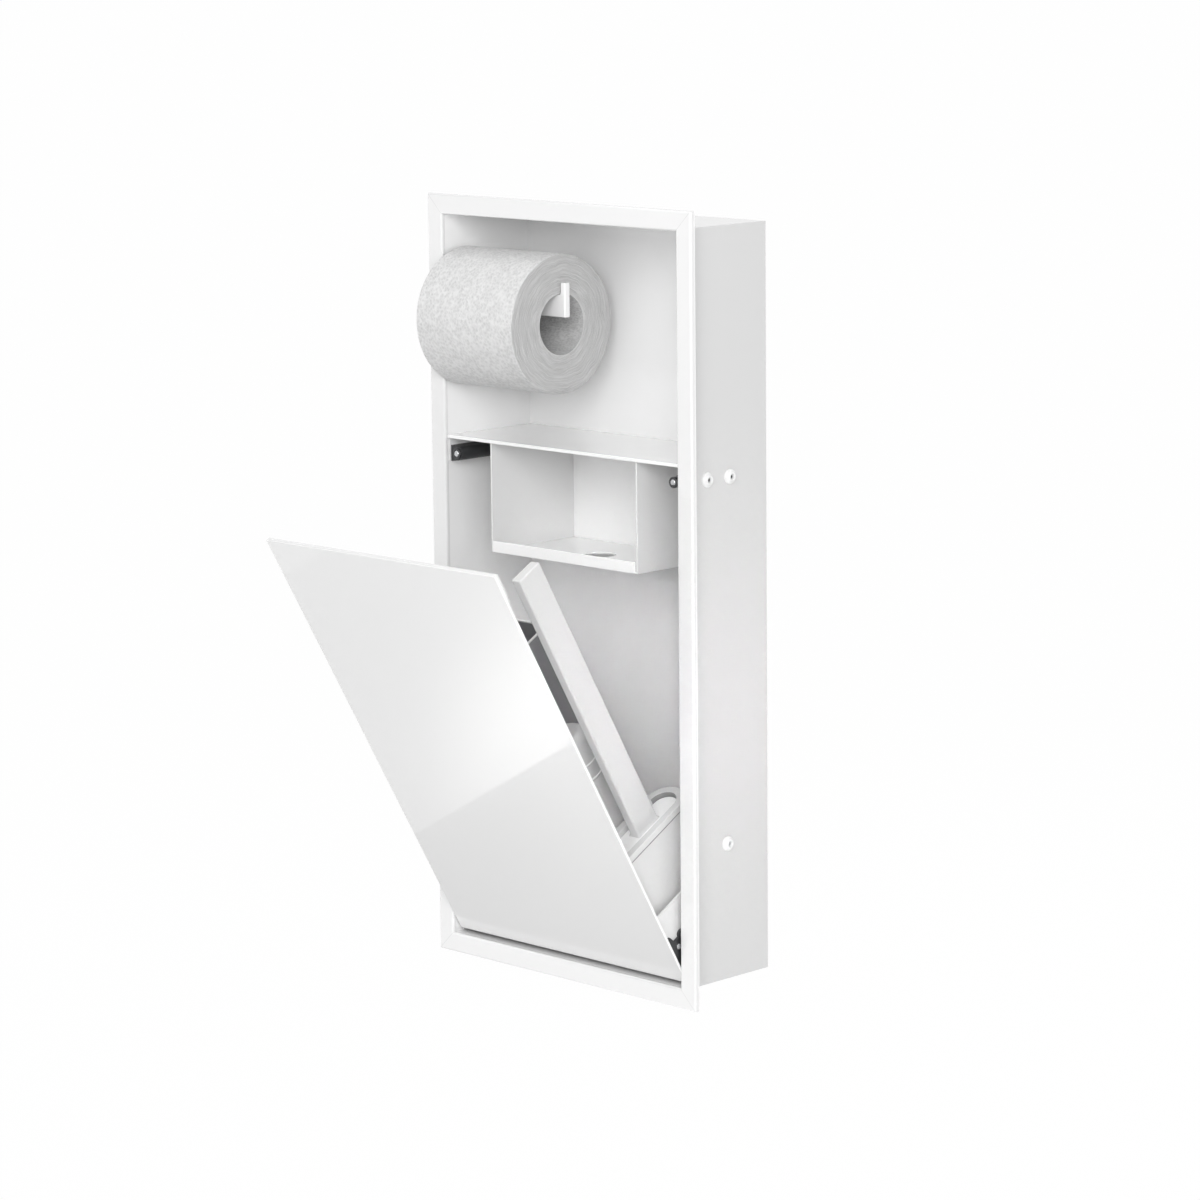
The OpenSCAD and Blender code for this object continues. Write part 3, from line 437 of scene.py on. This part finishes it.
def tissue(name, side_low, side_high, end_low, end_high):
    paper = blank_material(name)
    tree = paper.node_tree
    place = add(tree, "ShaderNodeTexCoord").outputs["Object"]
    centred = add(tree, "ShaderNodeMapping",
                  {"Vector": place, "Location": (0, -roll_y / 1000, -roll_z / 1000)}).outputs[0]
    split = add(tree, "ShaderNodeSeparateXYZ", {"Vector": centred})
    flat = add(tree, "ShaderNodeCombineXYZ", {"Y": split.outputs["Y"], "Z": split.outputs["Z"]})
    radius = add(tree, "ShaderNodeVectorMath", {0: flat.outputs[0]}, operation="LENGTH")
    inward = add(tree, "ShaderNodeMath", {0: split.outputs["Y"], 1: -1}, operation="MULTIPLY")
    angle = add(tree, "ShaderNodeMath", {0: split.outputs["Z"], 1: inward.outputs[0]},
                operation="ARCTAN2").outputs[0]
    # The ends
    stray = add(tree, "ShaderNodeTexNoise", {"Vector": centred, "Scale": 1000 / stray_mm,
                                             "Detail": 3})
    askew = add(tree, "ShaderNodeMath", {0: stray.outputs["Fac"], 1: stray_m},
                operation="MULTIPLY")
    wound = add(tree, "ShaderNodeMath", {0: radius.outputs["Value"], 1: askew.outputs[0]},
                operation="ADD")
    layer = add(tree, "ShaderNodeMath", {0: wound.outputs[0], 1: 1000 / layer_mm},
                operation="MULTIPLY")
    along = add(tree, "ShaderNodeMath", {0: angle, 1: fray_per_turn}, operation="MULTIPLY")
    layer_at = add(tree, "ShaderNodeCombineXYZ", {"X": layer.outputs[0], "Y": along.outputs[0]})
    layers = add(tree, "ShaderNodeTexNoise",
                 {"Vector": layer_at.outputs[0], "Scale": 1, "Detail": 4, "Roughness": 0.7})
    # The round side
    around = add(tree, "ShaderNodeMath", {0: angle, 1: roll_radius / 1000}, operation="MULTIPLY")
    unrolled = add(tree, "ShaderNodeCombineXYZ", {"X": split.outputs["X"],
                                                  "Y": around.outputs[0]}).outputs[0]
    slant = add(tree, "ShaderNodeVectorRotate", {"Vector": unrolled, "Angle": dash_slant},
                rotation_type="Z_AXIS")
    dashed = add(tree, "ShaderNodeMapping",
                 {"Vector": slant.outputs[0], "Scale": (1000 / dash_mm, 1000 / dash_wide_mm, 1)})
    dashes = add(tree, "ShaderNodeTexNoise",
                 {"Vector": dashed.outputs[0], "Scale": 1, "Detail": 2, "Roughness": 0.5})
    dimple = add(tree, "ShaderNodeTexVoronoi",
                 {"Vector": unrolled, "Scale": 1000 / dimple_mm, "Smoothness": 0.5},
                 feature="SMOOTH_F1")
    wave = add(tree, "ShaderNodeTexNoise",
               {"Vector": unrolled, "Scale": 1000 / wave_mm, "Detail": 4, "Roughness": 0.6,
                "Distortion": 0.5})
    pressed = add(tree, "ShaderNodeMath", {0: dimple.outputs["Distance"],
                                           1: dashes.outputs["Fac"]}, operation="ADD")
    waved = add(tree, "ShaderNodeMath", {0: pressed.outputs[0], 1: wave.outputs["Fac"]},
                operation="ADD")
    embossed = add(tree, "ShaderNodeMath", {0: waved.outputs[0], 1: emboss_share},
                   operation="DIVIDE")
    # Which of the two a face belongs to, from how far it faces along the roll's axis
    facing = add(tree, "ShaderNodeNewGeometry")
    facing_x = add(tree, "ShaderNodeSeparateXYZ", {"Vector": facing.outputs["True Normal"]})
    end_x = add(tree, "ShaderNodeMath", {0: facing_x.outputs["X"]}, operation="ABSOLUTE")
    on_end = add(tree, "ShaderNodeMath", {0: end_x.outputs[0], 1: end_limit},
                 operation="GREATER_THAN").outputs[0]
    height = add(tree, "ShaderNodeMix",
                 {"Factor": on_end, 2: embossed.outputs[0], 3: layers.outputs["Fac"]},
                 data_type="FLOAT")
    bump = add(tree, "ShaderNodeBump",
               {"Height": height.outputs[0], "Strength": 0.8, "Distance": emboss_depth})
    # The colour follows the same height and is darker where it lies low: painted shade in the dents
    # and between the layers
    shade = add(tree, "ShaderNodeMapRange",
                {"Value": height.outputs[0], "From Min": shade_low,
                 "From Max": shade_high}).outputs[0]
    side_tint = add(tree, "ShaderNodeMix",
                    {"Factor": shade, 6: linear(side_low), 7: linear(side_high)},
                    data_type="RGBA")
    end_tint = add(tree, "ShaderNodeMix",
                   {"Factor": shade, 6: linear(end_low), 7: linear(end_high)}, data_type="RGBA")
    tint = add(tree, "ShaderNodeMix",
               {"Factor": on_end, 6: side_tint.outputs[2], 7: end_tint.outputs[2]},
               data_type="RGBA")
    shader = add(tree, "ShaderNodeBsdfPrincipled",
                 {"Base Color": tint.outputs[2], "Normal": bump.outputs[0], "Roughness": 0.95,
                  "IOR": 1.45, "Specular IOR Level": 0.2, "Sheen Weight": 0.15,
                  "Sheen Roughness": 0.6})
    add(tree, "ShaderNodeOutputMaterial", {"Surface": shader.outputs[0]})
    return paper


soft_tissue = tissue("embossed_tissue", "#BABABA", "#E0E0E0", "#A4A4A4", "#DEDEDE")
bm = bmesh.new()
spin_outline(bm, ((roll_left, core_outer), (roll_left, roll_radius - 1.2),
                  (roll_left + 0.4, roll_radius - 0.4), (roll_left + 1.3, roll_radius),
                  (roll_right - 1.3, roll_radius), (roll_right - 0.4, roll_radius - 0.4),
                  (roll_right, roll_radius - 1.2), (roll_right, core_outer)),
             (roll_y, roll_z), 160)
piece(bm, "tissue_roll", soft_tissue, "roll_body", "tissue_paper", "paper_roll", smooth=50)

# The core is plain pale board, with the same layered look inside its bore
core_board = tissue("wound_core_board", "#A0A0A0", "#D4D4D4", "#C4C4C4", "#DADADA")
bm = bmesh.new()
spin_outline(bm, ((roll_left, core_bore), (roll_left, core_outer), (roll_right, core_outer),
                  (roll_right, core_bore)), (roll_y, roll_z), 96)
piece(bm, "roll_tube", core_board, "roll_body", "grey_cardboard", "roll_core", smooth=50)


# The two push latches. Moulded nylon bodies on white plates under the shelf; each has a plunger
# with a bright steel tip that a spring pushes out, and it springs the door open.
black_nylon = coat("moulded_black_nylon", "#2E2F31", 0.42, 0.8, 0.3, 0, wear=0.1)
white_nylon = coat("moulded_white_nylon", "#F0F0F0", 0.35, 0.8, 0.15, 0)
polished_nylon = coat("polished_black_nylon", "#2E2F31", 0.15, 0.8, 0.05, 0.3, wear=0.1)
spring_wire = bare_steel("drawn_spring_wire", "#8E9093", 0.35)
# The ends of the screws, which show in the bosses, are drawn black as painted shade in the bosses'
# holes. The black begins where they leave the wall, in metres.
screw_shade_x = 0.1268
screws = piece(rounded("latch_screws", 0.25, 2), "latch_screws_bright", zinc_steel, "niche",
               "bright_steel", "latch_screws")
screws.data.materials.append(black_nylon)
for face in screws.data.polygons:
    face.material_index = 1 if abs(face.center.x) > screw_shade_x else 0
for side in ("left", "right"):
    piece(rounded("latch_plate_" + side, 0.3, 2), "latch_backing_" + side, white_nylon, "niche",
          "white_latch_plastic", "latch_plate_" + side)
    piece(rounded("latch_body_" + side, 0.35, 2), "latch_housing_" + side, black_nylon, "niche",
          "dark_latch_plastic", "latch_body_" + side)
    piece(rounded("plunger_" + side, 0.5, 3), "latch_sleeve_" + side, polished_nylon,
          side + "_plunger", "dark_latch_plastic", "plunger_" + side)
    piece(rounded("plunger_tip_" + side, 1.0, 4), "latch_tip_" + side, zinc_steel,
          side + "_plunger", "bright_steel", "plunger_tip_" + side)
    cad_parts["latch_spring_" + side].data.materials.clear()
    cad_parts["latch_spring_" + side].data.materials.append(spring_wire)


# The stop pegs and the hinges' fixed side. Turned steel pegs that the tray's edge rests on, black
# coated brackets riveted to the walls, and steel hinge pins.
black_coat = coat("black_powder_coat", "#2B2C2E", 0.38, 1.2, 0.3, 0.1, wear=0.1)
for side in ("left", "right"):
    piece(rounded("stop_peg_" + side, 0.4), "door_stop_" + side, zinc_steel, "niche",
          "bright_steel", "stop_peg_" + side)
    piece(rounded("hinge_bracket_" + side, 0.25, 2), "bracket_" + side, black_coat, "niche",
          "black_hinge_lacquer", "hinge_bracket_" + side)
    piece(rounded("hinge_pin_" + side, 0.4), "pivot_" + side, zinc_steel, "niche",
          "bright_steel", "hinge_pin_" + side)
piece(rounded("bracket_rivets", 0.3), "bracket_rivet_heads", zinc_steel, "niche", "bright_steel",
      "bracket_rivets")


# The door. One panel of white lacquered steel with rounded edges, a folded strip inside its top
# edge that the latches press on, and a sheet tray riveted between its hinge arms.
door_width, door_height, door_thickness = 247, 386.6, 1.8
front_round, rear_round = 0.8, 0.3
# From the door's own frame, whose origin is its lower front edge, to the open door in the niche
hinge_y, hinge_z, hinge_in, hinge_up, door_open = 5.6, -265.6, 10.6, 12.6, math.radians(30)
lean = (Matrix.Translation((0, hinge_y, hinge_z)) @ Matrix.Rotation(door_open, 4, "X")
        @ Matrix.Translation((0, -hinge_in, -hinge_up)))


def box(bm, x, y, z):
    made = bmesh.ops.create_cube(bm, size=1)["verts"]
    bmesh.ops.scale(bm, verts=made, vec=(x[1] - x[0], y[1] - y[0], z[1] - z[0]))
    bmesh.ops.translate(bm, verts=made,
                        vec=((x[0] + x[1]) / 2, (y[0] + y[1]) / 2, (z[0] + z[1]) / 2))


bm = bmesh.new()
box(bm, (-door_width / 2, door_width / 2), (0, door_thickness), (0, door_height))
soften(bm, [e for e in bm.edges if all(v.co.y < 0.1 for v in e.verts)], front_round, 4)
rear = [e for e in bm.edges
        if e.calc_face_angle(0) > 1.2 and any(v.co.y > door_thickness - 0.1 for v in e.verts)]
soften(bm, rear, rear_round, 2)
bmesh.ops.transform(bm, matrix=lean, verts=bm.verts)
door_sheet = piece(bm, "door_sheet", gloss_lacquer, "door", "white_lacquer_door", "door_panel")
# Its cut side edges are coated but not polished, and drawn in the whiter box coat as a painted
# highlight along them
door_sheet.data.materials.append(white_powder_coat)
for face in door_sheet.data.polygons:
    face.material_index = 1 if abs(face.normal.x) > 0.5 else 0
piece(rounded("catch_strip", 0.4), "door_catch_strip", gloss_lacquer, "door", "white_lacquer_door",
      "catch_strip")
# The tray takes the greyer copy of the coat as painted shade
piece(rounded("holder_tray", 0.35, 2), "door_tray", shaded_wall_coat, "door", "white_lacquer_door",
      "holder_tray")
for side in ("left", "right"):
    piece(rounded("hinge_arm_" + side, 0.3, 2), "hinge_plate_" + side, black_coat, "door",
          "black_hinge_lacquer", "hinge_arm_" + side)
piece(rounded("arm_rivets", 0.3, 2), "arm_rivet_heads", zinc_steel, "door", "bright_steel",
      "arm_rivets")


# The bin. Injection moulded in dark grey ABS with a fine matt skin; it stands in the tray and is
# lifted out by its rim, which is pale and smooth.
grey_abs = coat("moulded_grey_abs", "#868688", 0.45, 0.9, 0.25, 0, wear=0.08)
pale_abs = coat("moulded_pale_abs", "#DCDCDC", 0.28, 0.9, 0.15, 0.2)
piece(rounded("bin", 0.5, 2), "bin_shell", grey_abs, "bin_body", "dark_bin_plastic", "bin")
piece(rounded("bin_rim", 0.45, 3), "bin_edge", pale_abs, "bin_body", "white_gloss_plastic",
      "bin_rim")


# The canister. A round white polypropylene jar with a raised bead at its shoulder, and a cap with a
# domed top that pulls off. The jar's body is drawn a little grey, and its beads pure white and
# polished, as a painted highlight along them.
milky_plastic = coat("milky_polypropylene", "#CECECE", 0.35, 3, 0.04, 0.1)
painted_highlight_plastic = coat("painted_highlight_polished_plastic", "#FFFFFF", 0.15, 3, 0, 0.6, wear=0.01)
jar_x, jar_in, tray_floor, bead_highlight_radius = 60.0, 40.0, 3.5, 17.55


# Turns an outline of (radius, height) points that starts and ends on the jar's axis
def turned_jar(name, outline, body, node):
    bm = bmesh.new()
    rim = [bm.verts.new((r, 0, z)) for r, z in outline]
    edges = [bm.edges.new(pair) for pair in zip(rim, rim[1:])]
    bmesh.ops.spin(bm, geom=rim + edges, cent=(0, 0, 0), axis=(0, 0, 1), angle=math.tau, steps=72,
                   use_merge=True)
    bmesh.ops.remove_doubles(bm, verts=bm.verts, dist=0.002)
    bmesh.ops.recalc_face_normals(bm, faces=bm.faces)
    # Faces on the beads, beyond this radius, take the pure white: a painted highlight
    for face in bm.faces:
        at = face.calc_center_median()
        face.material_index = 1 if math.hypot(at.x, at.y) > bead_highlight_radius else 0
    bmesh.ops.translate(bm, verts=bm.verts, vec=(jar_x, jar_in, tray_floor))
    bmesh.ops.transform(bm, matrix=lean, verts=bm.verts)
    made = piece(bm, name, milky_plastic, body, "white_gloss_plastic", node)
    made.data.materials.append(painted_highlight_plastic)


turned_jar("jar", ((0, 0), (16.8, 0), (17.5, 0.7), (17.5, 156.6), (17.3, 157.1), (16.5, 157.4),
                   (16.5, 158.2), (17.6, 158.3), (17.9, 158.6), (18, 159), (17.9, 159.4),
                   (17.5, 159.7), (17.5, 169.4), (17.1, 170), (16.3, 170.6), (15.9, 170.6),
                   (15.9, 182.6), (15.5, 183), (14.7, 182.6), (14.7, 1.2), (0, 1.2)),
           "canister_body", "canister")
dome_in, dome_up, dome_r = 10.5, 189, 7
dome = [(dome_in + dome_r * math.cos(math.radians(a)), dome_up + dome_r * math.sin(math.radians(a)))
        for a in range(0, 91, 10)]
turned_jar("jar_cap", [(16.1, 171), (17.6, 171), (17.9, 171.3), (18, 171.7), (17.9, 172.1),
                       (17.5, 172.4)] + dome
           + [(0, 196), (0, 194.6), (10.5, 194.6), (15, 192.5), (16.1, 189), (16.1, 171)],
           "cap_body", "canister_cap")


# The brush set. A white moulded pot with a loose collar, a lid that closes it, and a long flat
# handle that rises from the lid; inside hangs the brush.
white_plastic = coat("polished_white_plastic", "#DBDBDB", 0.2, 3, 0.04, 0.4)
bright_plastic = coat("bright_white_plastic", "#D8D8D8", 0.2, 3, 0.04, 0.4)
# The collar's seat, which shows in the gap above the pot, the pot's top edge and the collar's inner
# wall are drawn dark grey and rough: painted shade in the gap and on the wall. The wall is found by
# its height, and at the pot's round rear by its distance from the arc's centre.
shade_grey_plastic = coat("painted_shade_plastic", "#909090", 0.6, 1, 0.3, 0)
pot_x, arc_in, arc_reach = 97.6, 69, 12.5
pot_top, seat_top, wall_top, wall_front = 110.25, 111.55, 116.3, 45
pot_shell = piece(rounded("brush_pot", 0.6, 2), "pot_shell", white_plastic, "pot_body",
                  "white_gloss_plastic", "brush_pot")
pot_ring = piece(rounded("pot_collar", 0.5, 3), "pot_ring", white_plastic, "pot_body",
                 "white_gloss_plastic", "pot_collar")
upright = lean.inverted()
pot_shell.data.materials.append(shade_grey_plastic)
# The pot's top edge, under the collar, takes the dark grey as painted shade
for face in pot_shell.data.polygons:
    face.material_index = 1 if (upright @ (face.center * 1000)).z > pot_top else 0
pot_ring.data.materials.append(shade_grey_plastic)
for face in pot_ring.data.polygons:
    at = upright @ (face.center * 1000)
    facing = upright.to_3x3() @ face.normal
    shaded_inner_wall = at.z < wall_top and at.y > wall_front and abs(facing.z) < 0.3 and facing.y < 0.1
    shaded_inner_wall = shaded_inner_wall and math.hypot(at.x - pot_x, min(0, arc_in - at.y)) < arc_reach
    face.material_index = 1 if at.z < seat_top or shaded_inner_wall else 0
# The lid is drawn in the same pure white: painted light on its upward face
piece(rounded("pot_lid", 0.5, 3), "pot_cover", painted_highlight_plastic, "brush_body", "white_gloss_plastic",
      "pot_lid")

# The handle is a flat bar with round edges, whose foot widens where it meets the lid
handle_width, handle_depth, handle_length = 9.2, 23.6, 241.4
handle_in, handle_foot = 45, 112.6
side_round, top_round, foot_flare, flare_height = 1.6, 1.2, 1.2, 2.6
bm = bmesh.new()
box(bm, (-handle_width / 2, handle_width / 2), (-handle_depth / 2, handle_depth / 2),
    (0, handle_length))
soften(bm, [e for e in bm.edges if abs(e.verts[0].co.z - e.verts[1].co.z) > 100], side_round, 5)
top = [e for e in bm.edges
       if all(v.co.z > handle_length - 1 for v in e.verts) and e.calc_face_angle(0) > 1]
soften(bm, top, top_round, 4)
for height in (0.4, 0.9, 1.6, flare_height):
    bmesh.ops.bisect_plane(bm, geom=bm.verts[:] + bm.edges[:] + bm.faces[:],
                           plane_co=(0, 0, height), plane_no=(0, 0, 1), dist=0.0001)
for v in bm.verts:
    flare = foot_flare * max(0, 1 - v.co.z / flare_height) ** 2
    v.co.x += math.copysign(flare, v.co.x)
    v.co.y += math.copysign(flare, v.co.y)
bottom = [f for f in bm.faces if f.normal.z < -0.9]
bmesh.ops.delete(bm, geom=bottom, context="FACES")
bmesh.ops.translate(bm, verts=bm.verts, vec=(pot_x, handle_in, handle_foot))
bmesh.ops.transform(bm, matrix=lean, verts=bm.verts)
piece(bm, "brush_grip", bright_plastic, "brush_body", "white_gloss_plastic", "brush_handle")
piece(rounded("brush_stem", 0.4), "brush_rod", white_plastic, "brush_body", "white_gloss_plastic",
      "brush_stem")
piece(rounded("brush_head", 0.6), "brush_core", white_plastic, "brush_body",
      "white_gloss_plastic", "brush_head")

# White nylon filaments of 0.3 mm, packed side by side and cut level. They are too fine to show, so
# they are drawn as streaks about 1 mm wide that run along the brush, with painted shade in the
# darker streaks between them.
filament_mm, streak_mm, streak_depth = 1.0, 25, 0.0004
nylon = coat("nylon_filament", "#F0F0EC", 0.5, 0.6, 0, 0)
tree = nylon.node_tree
shader = next(n for n in tree.nodes if n.type == "BSDF_PRINCIPLED")
place = add(tree, "ShaderNodeTexCoord").outputs["Object"]
along = add(tree, "ShaderNodeMapping",
            {"Vector": place, "Rotation": (door_open, 0, 0),
             "Scale": (1, 1, streak_mm / filament_mm)}, vector_type="TEXTURE")
strands = add(tree, "ShaderNodeTexNoise",
              {"Vector": along.outputs[0], "Scale": 1000 / filament_mm, "Detail": 1})
shade = add(tree, "ShaderNodeMapRange",
            {"Value": strands.outputs["Fac"], "From Min": 0.35, "From Max": 0.6})
# The darker streaks are painted shade between the filaments
tint = add(tree, "ShaderNodeMix",
           {"Factor": shade.outputs[0], 6: linear("#A8A8A4"), 7: linear("#F4F4F0")},
           data_type="RGBA")
ridges = add(tree, "ShaderNodeBump",
             {"Height": strands.outputs["Fac"], "Strength": 0.8, "Distance": streak_depth})
tree.links.new(tint.outputs[2], shader.inputs["Base Color"])
tree.links.new(ridges.outputs[0], shader.inputs["Normal"])
piece(rounded("brush_bristles", 0.6), "bristle_block", nylon, "brush_body", "white_bristle",
      "brush_bristles")
